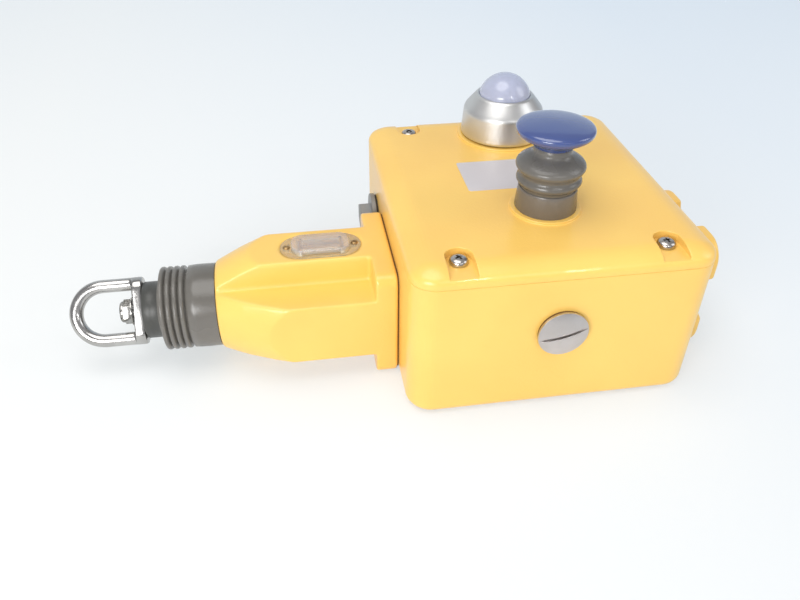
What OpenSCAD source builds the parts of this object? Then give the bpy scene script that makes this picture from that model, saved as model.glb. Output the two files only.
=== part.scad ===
// Rope pull safety switch: die-cast box, tension head with spring shaft and bow, lamp and reset knob.
// Millimetres. X runs along the rope, the bow is at -X. Z is up from the mounting face, -Y is the front.

/* [Box] */
// length of the box along the rope
body_w = 130; // [110:1:170]
// depth of the box, front to back
body_d = 145; // [125:1:185]
// height over the cover
body_h = 75; // [62:1:95]
// height of the cover above the parting line
cover_h = 7.5; // [7:0.5:12]
// radius of the upright corners
corner_r = 11.5; // [9:0.5:16]
// rounding of the edge round the underside
foot_r = 5; // [2:0.5:6]
// wall of the castings
wall = 4; // [3:0.5:6]
// cover screws in from the end walls
screw_in_x = 21; // [16:0.5:26]
// cover screws in from the front and back walls
screw_in_y = 12.8; // [10:0.5:18]

/* [Rope axis and head] */
// rope axis forward of the middle of the box
rope_fwd = 13.4; // [6:0.1:18]
// height of the rope axis
rope_z = 27.25; // [27.25:0.25:36]
// half width of the head flange
flange_y = 29.9; // [27:0.1:32]
// thickness of the head flange
flange_t = 9.8; // [7:0.1:14]
// length of the head from the box to its nose
head_len = 79.5; // [70:0.5:100]
// radius of the nose
nose_r = 20.4; // [19:0.1:23]
// half width of the raised middle of the head
crest_y = 13; // [12:0.1:15]
// how far the raised middle sits behind the rope axis
crest_back = 1.6; // [0:0.1:2]
// half height of the side shelves of the head
shelf_z = 15.2; // [13:0.1:18]
// how far the rope can be pulled
pull = 12; // [8:0.5:14]

/* [Rope end] */
// length of the rubber boot over the nose
boot_len = 33; // [28:0.5:42]
// half width over the bow
bow_r = 15.5; // [14:0.1:20]
// half thickness of the bow's bar
bar_r = 3.1; // [2.5:0.1:3.5]
// length of the bow
bow_len = 34; // [30:0.5:44]
// turn of the bow about the rope axis
bow_turn = 37; // [0:1:90]

/* [Top fittings] */
// reset knob axis along the rope
reset_x = 1.5; // [-10:0.5:12]
// reset knob axis forward of the middle
reset_fwd = 28; // [22:0.5:34]
// travel of the reset knob
press = 5; // [3:0.5:6]
// lamp axis along the rope
lamp_x = 2.5; // [-10:0.5:12]
// lamp axis behind the middle
lamp_back = 48.5; // [38:0.5:60]

/* [Entries] */
// radius of the cable entry bores, thread root of the M20 size
entry_r = 9.25; // [9.25:0.05:12]
// height of the cable entries
entry_z = 41.5; // [36:0.5:48]
// place of the front entry along the rope
front_entry_x = -1; // [-8:0.5:8]
// place of the entry beside the head, back from the middle
side_entry_y = 32; // [30:0.5:40]

/* [Node] */
// sub-part to build

/* [Hidden] */
$fn = 48;
run = 0.05;            // radial running clearance on shafts and pins
fit = 0.1;             // radial clearance of screws and plugs in their holes
gap = 0.3;             // clearance between curved faces of different bodies
split_z = body_h - cover_h;
rope_y = -rope_fwd;
reset_y = -reset_fwd;
screw_x = body_w / 2 - screw_in_x;
screw_y = body_d / 2 - screw_in_y;
rim = wall + 2.5;      // width of the rim that carries the gasket
pocket_z = split_z + 4;  // floor of the screw pockets in the cover
pocket_r = 5.8;        // half width of a screw pocket
seal_t = 0.5;          // gaskets under the head and the end cap
boss_h = 1.2;          // raised rings on the cover
head_x = -body_w / 2 - seal_t;     // face of the head against its gasket
flange_x = head_x - flange_t;
nose_x = head_x - head_len;
flange_z = rope_z;     // half height of the flange, so it ends level with the box
spigot_len = 6;
chamber_r = 17.3;
chamber_x0 = nose_x + 14;
shaft_r = 6;
tail_r = 5;
boot_x1 = nose_x - boot_len;       // front end of the boot
bow_x = boot_x1 - 0.3;             // near face of the bow's foot
foot_t = 5;                        // thickness of the bow's foot
end_r = 3;                         // threaded end of the shaft
wash_t = 0.8;
nut_t = 5;
band_x = head_x - 31.1;                    // middle of the window along the rope
band_hx = 18.6;
band_hy = 9.5;
band_y = rope_y + 1;               // it sits a little behind the rope axis
cap_len = 17.6;                    // depth of the end cap
lobe_r = 11;                       // its four lobes
plate_z = 8;                       // underside of the mechanism plate
plate_t = 2;
cam_slope = 0.32;
plunger_ax = -33.5;                // pull contact
plunger_bx = -11.5;                // slack contact
roller_r = 2.5;
pivot_x = 26;
pivot_z = rope_z + 16.75;
pin_r = 2.5;
ring_r = 10;
lamp_z = body_h + boss_h;
reset_z = body_h + boss_h;
stem_r = 4.5;
pad_t = 7;             // thickness of the wall at the head and end cap screws
head_sy = 19.7;        // head and end cap screws from the rope axis
head_sz = 18.9;
bush_r = 12;
groove_in = 2;         // gasket groove in from the walls
groove_w = 2.6;
mount_r = 2.5;         // thread root of the M6 mounting holes
plate_feet = [[-46.5, 44], [-44, -34], [44, -34], [44, 20]];
earth_at = [38, 45];
collar_x1 = head_x - 13.5;  // collar the main spring pushes on
collar_x0 = collar_x1 - 5;
sleeve_x0 = chamber_x0 + pull + 4;
cam_x0 = -44;          // cam block
cam_x1 = 8;
ring_x0 = 30;          // latch ring
ring_x1 = 54;
tail_x1 = body_w / 2 + 7;
hub_x = boot_x1 + 6;
cap_x = body_w / 2 + seal_t;
contact_y = rope_y + 28.5;         // front of the contacts
crown_in = corner_r;   // how far the cover's crown reaches in
crown_r = 18;          // its large and small arcs
crown_r2 = 4.2;

// placing helpers
module on_rope() { translate([0, rope_y, rope_z]) rotate([0, 90, 0]) children(); }
module at_reset() { translate([reset_x, reset_y, 0]) children(); }
module at_lamp() { translate([lamp_x, lamp_back, 0]) children(); }
module corners(x, y) { for (i = [-1, 1], j = [-1, 1]) translate([i * x, j * y, 0]) children(); }

// rod and ring along the rope axis, from x0 to x1
module rod(x0, x1, r) { on_rope() translate([0, 0, x0]) cylinder(h = x1 - x0, r = r); }
module ring(x0, x1, r, bore) {
  difference() {
    rod(x0, x1, r);
    rod(x0 - 1, x1 + 1, bore);
  }
}

// flat outline with round corners, and a block of it
module outline(x, y, r) {
  union() {
    square([x, y - 2 * r], center = true);
    square([x - 2 * r, y], center = true);
    for (i = [-1, 1], j = [-1, 1]) translate([i * (x / 2 - r), j * (y / 2 - r)]) circle(r = r);
  }
}
module slab(x, y, r, z0, z1) { translate([0, 0, z0]) linear_extrude(z1 - z0) outline(x, y, r); }

// a block whose side profile goes all round it, with round corners of radius r;
// the child is the profile's outer part, from the corner's axis outwards
module round_block(x, y, r, z0, z1) {
  union() {
    translate([0, 0, z0]) linear_extrude(z1 - z0) square([x - 2 * r, y - 2 * r], center = true);
    for (a = [0, 180]) rotate([0, 0, a]) {
      translate([x / 2 - r, y / 2 - r, 0]) rotate([90, 0, 0]) linear_extrude(y - 2 * r) children();
      translate([-x / 2 + r, y / 2 - r, 0]) rotate([90, 0, 90]) linear_extrude(x - 2 * r) children();
    }
    for (i = [0 : 3]) translate([(i == 0 || i == 3 ? 1 : -1) * (x / 2 - r), (i < 2 ? 1 : -1) * (y / 2 - r), 0])
      rotate([0, 0, 90 * i]) rotate_extrude(angle = 90) children();
  }
}

// a coil spring standing on the origin, axis along Z
function coil_ring(a, r, w, z, n) = [for (k = [0 : n - 1])
  [(r + w * cos(k * 360 / n)) * cos(a), (r + w * cos(k * 360 / n)) * sin(a), z + w * sin(k * 360 / n)]];
module coil(r, w, turns, len, steps = 14, n = 6) {
  total = turns * steps;
  pts = [for (i = [0 : total]) each coil_ring(i * 360 / steps, r, w, w + (len - 2 * w) * i / total, n)];
  sides = [for (i = [0 : total - 1], k = [0 : n - 1])
    each [[i * n + k, (i + 1) * n + k, (i + 1) * n + (k + 1) % n],
      [i * n + k, (i + 1) * n + (k + 1) % n, i * n + (k + 1) % n]]];
  polyhedron(pts, concat([[for (k = [0 : n - 1]) k]], sides,
    [[for (k = [n - 1 : -1 : 0]) total * n + k]]));
}

// pan-head screw with a cross recess, head seat at z = 0, shank down
module pan_screw(r, head_r, head_h, shank) {
  difference() {
    union() {
      translate([0, 0, -shank]) cylinder(h = shank, r = r);
      intersection() {
        cylinder(h = head_h, r = head_r);
        translate([0, 0, head_h - 1.6 * head_r]) sphere(r = 1.6 * head_r);
      }
    }
    for (a = [0, 90]) rotate([0, 0, a])
      translate([-head_r * 0.55, -head_r * 0.1, head_h * 0.4]) cube([head_r * 1.1, head_r * 0.2, head_h]);
  }
}
// socket cap screw, same datum
module cap_screw(r, head_r, head_h, shank) {
  difference() {
    union() {
      translate([0, 0, -shank]) cylinder(h = shank, r = r);
      cylinder(h = head_h, r = head_r);
    }
    translate([0, 0, head_h * 0.45]) cylinder(h = head_h, r = head_r * 0.52, $fn = 6);
  }
}

// ---- box ----
module base_housing() color([0.96, 0.76, 0.16]) {
  difference() {
    union() {
      difference() {
        round_block(body_w, body_d, corner_r, 0, split_z) skirt_side();
        slab(body_w - 2 * wall, body_d - 2 * wall, corner_r - wall, wall, split_z + 1);
      }
      // rim for the gasket
      difference() {
        slab(body_w - 1, body_d - 1, corner_r - 0.5, split_z - 8, split_z);
        slab(body_w - 2 * rim, body_d - 2 * rim, corner_r - wall, split_z - 9, split_z + 1);
      }
      corner_posts();
      // thick wall behind each cable entry
      translate([front_entry_x, -body_d / 2 + wall - 1, entry_z]) rotate([-90, 0, 0]) cylinder(h = 7, r = 13);
      translate([0, body_d / 2 - wall + 1, entry_z]) rotate([90, 0, 0]) cylinder(h = 7, r = 13);
      translate([-body_w / 2 + wall - 1, side_entry_y, entry_z]) rotate([0, 90, 0]) cylinder(h = 7, r = 13);
      // pads that take the head and end cap screws
      for (s = [-1, 1], j = [-1, 1], k = [-1, 1])
        translate([s * (body_w / 2 - 1), rope_y + j * head_sy, rope_z + k * head_sz])
          rotate([0, s * -90, 0]) cylinder(h = pad_t - 1, r = 5.5);
      // seats of the mechanism plate and the earth screw
      for (p = plate_feet) translate([p[0], p[1], wall - 1]) cylinder(h = plate_z - wall + 1, r = 4.5);
      translate([earth_at[0], earth_at[1], wall - 1]) cylinder(h = 6, r = 6);
    }
    translate([0, 0, split_z - 2])
      linear_extrude(3) difference() {
        outline(body_w - 2 * groove_in, body_d - 2 * groove_in, corner_r - groove_in);
        outline(body_w - 2 * groove_in - 2 * groove_w, body_d - 2 * groove_in - 2 * groove_w,
          corner_r - groove_in - groove_w);
      }
    corners(screw_x, screw_y) translate([0, 0, split_z - 18]) cylinder(h = 20, r = 2 + fit);
    corners(screw_x, screw_y) translate([0, 0, -1]) cylinder(h = 13, r = mount_r);
    translate([front_entry_x, -body_d / 2 - 1, entry_z]) rotate([-90, 0, 0]) cylinder(h = 14, r = entry_r);
    translate([0, body_d / 2 + 1, entry_z]) rotate([90, 0, 0]) cylinder(h = 14, r = entry_r);
    translate([-body_w / 2 - 1, side_entry_y, entry_z]) rotate([0, 90, 0]) cylinder(h = 14, r = entry_r);
    rod(-body_w / 2 - 1, -body_w / 2 + wall + 1, bush_r + run);
    rod(body_w / 2 - wall - 1, body_w / 2 + 1, bush_r + run);
    for (s = [-1, 1], j = [-1, 1], k = [-1, 1])
      translate([s * (body_w / 2 + 1), rope_y + j * head_sy, rope_z + k * head_sz])
        rotate([0, s * -90, 0]) cylinder(h = pad_t + 2, r = s < 0 ? 2.7 : 2.5 + fit);
    // room for the heads of the head screws
    for (j = [-1, 1], k = [-1, 1])
      translate([-body_w / 2 + pad_t, rope_y + j * head_sy, rope_z + k * head_sz])
        rotate([0, 90, 0]) cylinder(h = 5 + gap, r = 4.2 + fit);
    for (p = plate_feet) translate([p[0], p[1], wall - 1.5]) cylinder(h = plate_z, r = 2 + fit);
    translate([earth_at[0], earth_at[1], wall - 1.5]) cylinder(h = 12, r = 2 + fit);
  }
}
module skirt_side() {
  union() {
    translate([0, foot_r]) square([corner_r, split_z - foot_r]);
    square([corner_r - foot_r, split_z]);
    intersection() {
      translate([corner_r - foot_r, foot_r]) circle(r = foot_r);
      square([corner_r, split_z]);
    }
  }
}
module corner_posts() {
  corners(screw_x, screw_y) translate([0, 0, 2]) cylinder(h = split_z - 2, r = 6.5);
  for (i = [-1, 1], j = [-1, 1])
    translate([i * screw_x - 5, j > 0 ? screw_y : -body_d / 2 + 2, 2])
      cube([10, body_d / 2 - screw_y - 2, split_z - 2]);
}

// crown of the cover: a large arc that runs into a small one
module lid_side() {
  c1 = [0, body_h - crown_r];
  dx = crown_in - crown_r2;
  c2 = [dx, c1[1] + sqrt((crown_r - crown_r2) * (crown_r - crown_r2) - dx * dx)];
  far = c1 + (c2 - c1) * 2 * crown_r / (crown_r - crown_r2);
  intersection() {
    translate([0, split_z]) square([crown_in, cover_h]);
    union() {
      intersection() {
        translate(c1) circle(r = crown_r);
        polygon([c1, far, [0, far[1]]]);
      }
      translate(c2) circle(r = crown_r2);
      translate([0, split_z - 1]) square([crown_in, c2[1] - split_z + 1]);
      polygon([[0, split_z - 1], [dx, split_z - 1], c2, c1 + (c2 - c1) * crown_r / (crown_r - crown_r2), [0, c2[1]]]);
    }
  }
}
module cover() color([0.96, 0.76, 0.16]) {
  difference() {
    union() {
      difference() {
        round_block(body_w, body_d, corner_r, split_z, body_h) lid_side();
        difference() {
          slab(body_w - 2 * rim - 6, body_d - 2 * rim - 6, corner_r - wall, split_z - 1, body_h - wall);
          corners(screw_x, screw_y) translate([0, 0, split_z - 2]) cylinder(h = cover_h, r = pocket_r + 3);
        }
      }
      at_reset() translate([0, 0, body_h - 1]) cylinder(h = boss_h + 1, r = 15.5);
      at_lamp() translate([0, 0, body_h - 1]) cylinder(h = boss_h + 1, r = 22.5);
    }
    at_reset() translate([0, 0, split_z - 1]) cylinder(h = 20, r = 10);
    at_lamp() translate([0, 0, split_z - 1]) cylinder(h = 20, r = 11);
    for (i = [-1, 1], j = [-1, 1]) translate([i * screw_x, j * screw_y, pocket_z]) {
      cylinder(h = cover_h, r = pocket_r);
      translate([-pocket_r, j > 0 ? 0 : -screw_in_y - 1, 0]) cube([2 * pocket_r, screw_in_y + 1, cover_h]);
    }
    corners(screw_x, screw_y) translate([0, 0, split_z - 1]) cylinder(h = cover_h, r = 2.2);
  }
}
module cover_gasket() color([0.12, 0.12, 0.12]) {
  translate([0, 0, split_z - 2])
    linear_extrude(2) difference() {
      outline(body_w - 2 * groove_in - 0.2, body_d - 2 * groove_in - 0.2, corner_r - groove_in - 0.1);
      outline(body_w - 2 * groove_in - 2 * groove_w + 0.2, body_d - 2 * groove_in - 2 * groove_w + 0.2,
        corner_r - groove_in - groove_w + 0.1);
    }
}
module cover_screws() color([0.72, 0.72, 0.7]) {
  corners(screw_x, screw_y) translate([0, 0, pocket_z]) pan_screw(2, 4, 3.1, 14);
}
module label() color([0.93, 0.94, 0.95]) {
  translate([-28, -9.5, body_h]) cube([48, 28, 0.2]);
}

// ---- head ----
module cross_section() {
  union() {
    translate([0, crest_back]) square([2 * flange_z, 2 * crest_y], center = true);
    square([2 * shelf_z, 2 * flange_y], center = true);
  }
}
module head_housing() color([0.96, 0.76, 0.16]) {
  difference() {
    union() {
      translate([flange_x, rope_y, rope_z]) rotate([0, 90, 0])
        linear_extrude(flange_t) outline(2 * flange_z, 2 * flange_y, 5);
      intersection() {
        translate([nose_x, rope_y, rope_z]) rotate([0, 90, 0]) linear_extrude(head_len - 1) cross_section();
        on_rope() rotate_extrude($fn = 96) polygon([[0, nose_x], [nose_r - 0.8, nose_x], [nose_r, nose_x + 0.8],
          [nose_r + 5.4, nose_x + 12], [nose_r + 10.2, nose_x + 24], [nose_r + 13.6, nose_x + 34],
          [nose_r + 22, flange_x + 1], [0, flange_x + 1]]);
      }
      rod(nose_x - spigot_len, nose_x + 1, nose_r - 4);
    }
    rod(nose_x - spigot_len - 1, chamber_x0 + 1, 9 + run);
    rod(chamber_x0, head_x + 1, chamber_r);
    // window
    translate([band_x, band_y, rope_z + flange_z - 1.5]) linear_extrude(3) window_outline(0);
    translate([band_x - 10, band_y - 6, rope_z + chamber_r - 3]) cube([20, 12, flange_z - chamber_r + 4]);
    for (s = [-1, 1]) translate([band_x + s * 15.4, band_y, rope_z + flange_z - 6]) cylinder(h = 6, r = 1 + fit);
    for (j = [-1, 1], k = [-1, 1]) translate([head_x + 1, rope_y + j * head_sy, rope_z + k * head_sz])
      rotate([0, -90, 0]) cylinder(h = flange_t - 0.5, r = 2.5 + fit);
  }
}
module window_outline(inset) {
  union() {
    square([2 * (band_hx - band_hy), 2 * (band_hy - inset)], center = true);
    for (s = [-1, 1]) translate([s * (band_hx - band_hy), 0]) circle(r = band_hy - inset);
  }
}
module head_gasket() color([0.1, 0.1, 0.1]) {
  difference() {
    translate([head_x, rope_y, rope_z]) rotate([0, 90, 0])
      linear_extrude(seal_t) outline(2 * flange_z - 2.4, 2 * flange_y - 2.4, 3.8);
    rod(head_x - 1, head_x + seal_t + 1, chamber_r);
    for (j = [-1, 1], k = [-1, 1]) translate([head_x - 1, rope_y + j * head_sy, rope_z + k * head_sz])
      rotate([0, 90, 0]) cylinder(h = seal_t + 2, r = 2.7);
  }
}
module head_screws() color([0.7, 0.7, 0.7]) {
  for (j = [-1, 1], k = [-1, 1])
    translate([-body_w / 2 + pad_t, rope_y + j * head_sy, rope_z + k * head_sz])
      rotate([0, 90, 0]) cap_screw(2.5, 4.2, 5, pad_t + seal_t + flange_t - 2);
}
module window_lens() color([0.9, 0.94, 0.97, 0.5]) {
  difference() {
    union() {
      translate([band_x, band_y, rope_z + flange_z - 1.5]) linear_extrude(1.4) window_outline(0.15);
      translate([band_x, band_y, rope_z + flange_z - 0.5]) linear_extrude(2.6) outline(22, 15, 2);
      translate([band_x - 9.7, band_y - 5.7, rope_z + flange_z - 3]) cube([19.4, 11.4, 2]);
    }
    translate([band_x - 8.5, band_y - 4.6, rope_z + flange_z - 4]) cube([17, 9.2, 5]);
    for (s = [-1, 1]) translate([band_x + s * 15.4, band_y, rope_z + flange_z - 2]) cylinder(h = 3, r = 1.2);
  }
}
module window_screws() color([0.6, 0.6, 0.58]) {
  for (s = [-1, 1]) translate([band_x + s * 15.4, band_y, rope_z + flange_z - 0.1]) pan_screw(1, 1.9, 1.2, 5.5);
}

// ---- moving rope line ----
module rope_shaft() color([0.75, 0.76, 0.78]) {
  union() {
    rod(bow_x - foot_t - wash_t - nut_t - 1.6, bow_x - foot_t + 1, end_r);
    rod(bow_x - foot_t - 0.3, bow_x + 1, 5);
    rod(bow_x, hub_x, 10);
    rod(hub_x - 1, cam_x1, shaft_r);
    rod(cam_x1 - 1, tail_x1, tail_r);
  }
}
module spring_collar() color([0.55, 0.56, 0.58]) {
  ring(collar_x0, collar_x1, 14.6, shaft_r + 0.02);
}
module indicator_sleeve() color([0.62, 0.66, 0.62]) {
  difference() {
    ring(sleeve_x0, collar_x1, 16.8, 14.65);
    for (x = [sleeve_x0 + 6 : 6 : collar_x0 - 4]) ring(x, x + 1, 18, 16.4);
  }
}
module front_bush() color([0.72, 0.55, 0.25]) {
  ring(nose_x - spigot_len, chamber_x0, 9, shaft_r + run);
}
module rear_bush() color([0.72, 0.55, 0.25]) {
  difference() {
    union() {
      rod(head_x - 3, head_x + seal_t, chamber_r - 0.1);
      rod(head_x - 1, -body_w / 2 + wall + 3, bush_r);
    }
    rod(head_x - 5, -body_w / 2 + wall + 5, shaft_r + run);
  }
}
module main_spring() color([0.5, 0.5, 0.52]) {
  translate([chamber_x0, rope_y, rope_z]) rotate([0, 90, 0])
    coil(11, 1.4, 7, collar_x0 - chamber_x0 - 0.05, 16, 7);
}
module rope_boot() color([0.36, 0.36, 0.34]) {
  inner = nose_r - 3.9;
  out = nose_r - 1.2;
  x0 = nose_x - 0.1;
  rib0 = nose_x - 12.9;
  rib_p = (boot_len - 21.2) / 4;
  on_rope() rotate_extrude($fn = 72) polygon(concat(
    [[inner, x0], [out, x0], [out, rib0]],
    [for (i = [0 : 3]) each [[out - 1.6, rib0 - rib_p * (i + 0.12)], [out - 1.6, rib0 - rib_p * (i + 0.28)],
      [out, rib0 - rib_p * (i + 0.45)], [out, rib0 - rib_p * (i + 0.92)]]],
    [[out - 2, rib0 - rib_p * 4 - 0.4], [13, rib0 - rib_p * 4 - 1], [13, boot_x1],
      [10.2, boot_x1], [10.2, rib0 - rib_p * 4 + 1.2], [out - 4.4, rib0 - rib_p * 4 + 2],
      [out - 4.4, nose_x - spigot_len - 2], [inner, nose_x - spigot_len - 0.2]]));
}
module rope_bow() color([0.8, 0.81, 0.83]) {
  arc_x = bow_x - bow_len + bow_r;
  mid = bow_r - bar_r;
  translate([0, rope_y, rope_z]) rotate([-bow_turn, 0, 0]) difference() {
    union() {
      intersection() {
        translate([arc_x, 0, 0]) rotate([90, 0, 0]) rotate_extrude($fn = 64) translate([mid, 0]) circle(r = bar_r);
        translate([arc_x - 2 * bow_r, -bow_r, -2 * bow_r]) cube([2 * bow_r, 2 * bow_r, 4 * bow_r]);
      }
      for (k = [-1, 1]) translate([arc_x, 0, k * mid]) rotate([0, 90, 0]) cylinder(h = bow_x - arc_x - 0.8, r = bar_r);
      intersection() {
        translate([bow_x - foot_t, -5.5, -bow_r]) cube([foot_t, 11, 2 * bow_r]);
        translate([bow_x - foot_t - 1, 0, 0]) rotate([0, 90, 0]) cylinder(h = foot_t + 2, r = bow_r - 0.6);
      }
      translate([bow_x - foot_t, 0, 0]) rotate([0, 90, 0]) cylinder(h = foot_t, r = 9);
    }
    translate([bow_x - foot_t - 2, 0, 0]) rotate([0, 90, 0]) cylinder(h = foot_t + 4, r = 5 + run);
  }
}
module bow_washer() color([0.66, 0.67, 0.68]) {
  ring(bow_x - foot_t - 0.3 - wash_t, bow_x - foot_t - 0.3, 6.6, end_r + 0.02);
}
module bow_nut() color([0.66, 0.67, 0.68]) {
  x0 = bow_x - foot_t - 0.3 - wash_t - nut_t;
  difference() {
    intersection() {
      on_rope() translate([0, 0, x0]) cylinder(h = nut_t, r = 5.8, $fn = 6);
      on_rope() translate([0, 0, x0 + nut_t / 2]) rotate_extrude() polygon([[0, -nut_t / 2], [5.1, -nut_t / 2],
        [5.8, -nut_t / 2 + 0.7], [5.8, nut_t / 2 - 0.7], [5.1, nut_t / 2], [0, nut_t / 2]]);
    }
    rod(x0 - 1, x0 + nut_t + 1, end_r + 0.02);
  }
}

// ---- plugs ----
module front_plug() color([0.78, 0.77, 0.74]) {
  translate([front_entry_x, -body_d / 2 - 1, entry_z]) rotate([90, 0, 0]) difference() {
    union() {
      translate([0, 0, -9]) cylinder(h = 9.5, r = entry_r - fit);
      intersection() {
        cylinder(h = 3.2, r = 10.9);
        translate([0, 0, 3.2 - 34]) sphere(r = 34, $fn = 96);
      }
    }
    rotate([0, 0, 14]) translate([-12, -0.8, 1.5]) cube([24, 1.6, 3]);
  }
}
module front_plug_seal() color([0.1, 0.1, 0.1]) {
  translate([front_entry_x, -body_d / 2, entry_z]) rotate([90, 0, 0]) difference() {
    cylinder(h = 1, r = 10.5);
    translate([0, 0, -1]) cylinder(h = 3, r = entry_r - fit + 0.02);
  }
}
module side_plug() color([0.5, 0.52, 0.52]) {
  translate([-body_w / 2 - 1, side_entry_y, entry_z]) rotate([0, -90, 0]) union() {
    translate([0, 0, -9]) cylinder(h = 9.5, r = entry_r - fit);
    cylinder(h = 2.2, r = 11.3);
    translate([0, 0, 2]) cylinder(h = 5.8, r = 7.2, $fn = 6);
  }
}
module side_plug_seal() color([0.1, 0.1, 0.1]) {
  translate([-body_w / 2, side_entry_y, entry_z]) rotate([0, -90, 0]) difference() {
    cylinder(h = 1, r = 10.5);
    translate([0, 0, -1]) cylinder(h = 3, r = entry_r - fit + 0.02);
  }
}

// ---- end cap ----
// four lobes with scallops between them, cut level with the underside of the box
module cap_outline() {
  intersection() {
    difference() {
      outline(2 * (head_sz + lobe_r), 2 * (head_sy + lobe_r), lobe_r);
      for (i = [-1, 1]) translate([i * (head_sz + lobe_r + 2), 0]) circle(r = 11.5);
      for (j = [-1, 1]) translate([0, j * (head_sy + lobe_r + 2)]) circle(r = 11.5);
    }
    translate([-60, -60]) square([60 + rope_z - 0.1, 120]);
  }
}
module end_cap() color([0.96, 0.76, 0.16]) {
  difference() {
    translate([cap_x, rope_y, rope_z]) rotate([0, 90, 0]) linear_extrude(cap_len) cap_outline();
    rod(cap_x - 1, cap_x + cap_len - wall, 14);
    for (j = [-1, 1], k = [-1, 1]) translate([cap_x - 1, rope_y + j * head_sy, rope_z + k * head_sz])
      rotate([0, 90, 0]) {
        cylinder(h = cap_len + 2, r = 2.7);
        translate([0, 0, cap_len - 5]) cylinder(h = 8, r = 4.6);
      }
  }
}
module end_cap_gasket() color([0.1, 0.1, 0.1]) {
  difference() {
    translate([cap_x - seal_t, rope_y, rope_z]) rotate([0, 90, 0]) linear_extrude(seal_t) cap_outline();
    rod(cap_x - seal_t - 1, cap_x + 1, 14);
    for (j = [-1, 1], k = [-1, 1]) translate([cap_x - seal_t - 1, rope_y + j * head_sy, rope_z + k * head_sz])
      rotate([0, 90, 0]) cylinder(h = seal_t + 2, r = 2.7);
  }
}
module end_cap_screws() color([0.7, 0.7, 0.7]) {
  for (j = [-1, 1], k = [-1, 1])
    translate([cap_x + cap_len - 6, rope_y + j * head_sy, rope_z + k * head_sz])
      rotate([0, 90, 0]) cap_screw(2.5, 4.2, 5, cap_len - 6 + seal_t + pad_t - 0.5);
}
module end_bush() color([0.72, 0.55, 0.25]) {
  difference() {
    union() {
      rod(body_w / 2, cap_x + 2, 13.8);
      rod(body_w / 2 - wall - 3, body_w / 2 + 1, bush_r);
    }
    rod(body_w / 2 - wall - 5, cap_x + 4, tail_r + run);
  }
}

// ---- lamp ----
module beacon_bezel() color([0.8, 0.8, 0.78]) {
  at_lamp() rotate_extrude($fn = 96) polygon([[16.5, lamp_z + 0.8], [20.8, lamp_z + 0.8], [20.8, lamp_z + 1.2],
    [20.0, lamp_z + 12.5], [19.5, lamp_z + 13.8], [18.4, lamp_z + 15.4], [16.6, lamp_z + 17.6], [14.9, lamp_z + 19.6],
    [13.4, lamp_z + 20.6], [12.8, lamp_z + 20.6], [12.8, lamp_z + 19.2], [16.5, lamp_z + 15]]);
}
module beacon_body() color([0.15, 0.15, 0.16]) {
  at_lamp() difference() {
    union() {
      translate([0, 0, lamp_z]) cylinder(h = 10, r = 16.4);
      translate([0, 0, split_z - 10]) cylinder(h = 20, r = 10.8);
    }
    translate([0, 0, split_z - 11]) cylinder(h = 40, r = 8.5);
    translate([0, 0, lamp_z + 6]) cylinder(h = 5, r = 14.6);
  }
}
module beacon_seal() color([0.1, 0.1, 0.1]) {
  at_lamp() translate([0, 0, lamp_z]) difference() {
    cylinder(h = 0.8, r = 19.2);
    translate([0, 0, -1]) cylinder(h = 3, r = 16.5);
  }
}
module beacon_dome() color([0.82, 0.84, 0.93, 0.6]) {
  at_lamp() translate([0, 0, lamp_z + 10]) difference() {
    union() {
      cylinder(h = 2, r = 15.6);
      intersection() {
        translate([0, 0, 7.2]) sphere(r = 13.3, $fn = 64);
        cylinder(h = 25, r = 12.6);
      }
      cylinder(h = 7, r = 12.6);
    }
    translate([0, 0, 7.2]) sphere(r = 11.6, $fn = 64);
    translate([0, 0, -1]) cylinder(h = 8.3, r = 11);
  }
}
module beacon_lamp() color([0.2, 0.45, 0.25]) {
  at_lamp() translate([0, 0, lamp_z + 6]) union() {
    cylinder(h = 1.6, r = 14.4);
    for (a = [0 : 60 : 300]) rotate([0, 0, a]) translate([6.6, 0, 1.5]) {
      cylinder(h = 4.5, r = 2.2);
      translate([0, 0, 4.5]) sphere(r = 2.2, $fn = 24);
    }
    translate([0, 0, 1.5]) cylinder(h = 4.5, r = 2.2);
  }
}
module beacon_nut() color([0.3, 0.3, 0.3]) {
  at_lamp() translate([0, 0, body_h - wall - 5]) difference() {
    cylinder(h = 5, r = 15.5, $fn = 6);
    translate([0, 0, -1]) cylinder(h = 7, r = 10.85);
  }
}

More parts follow.
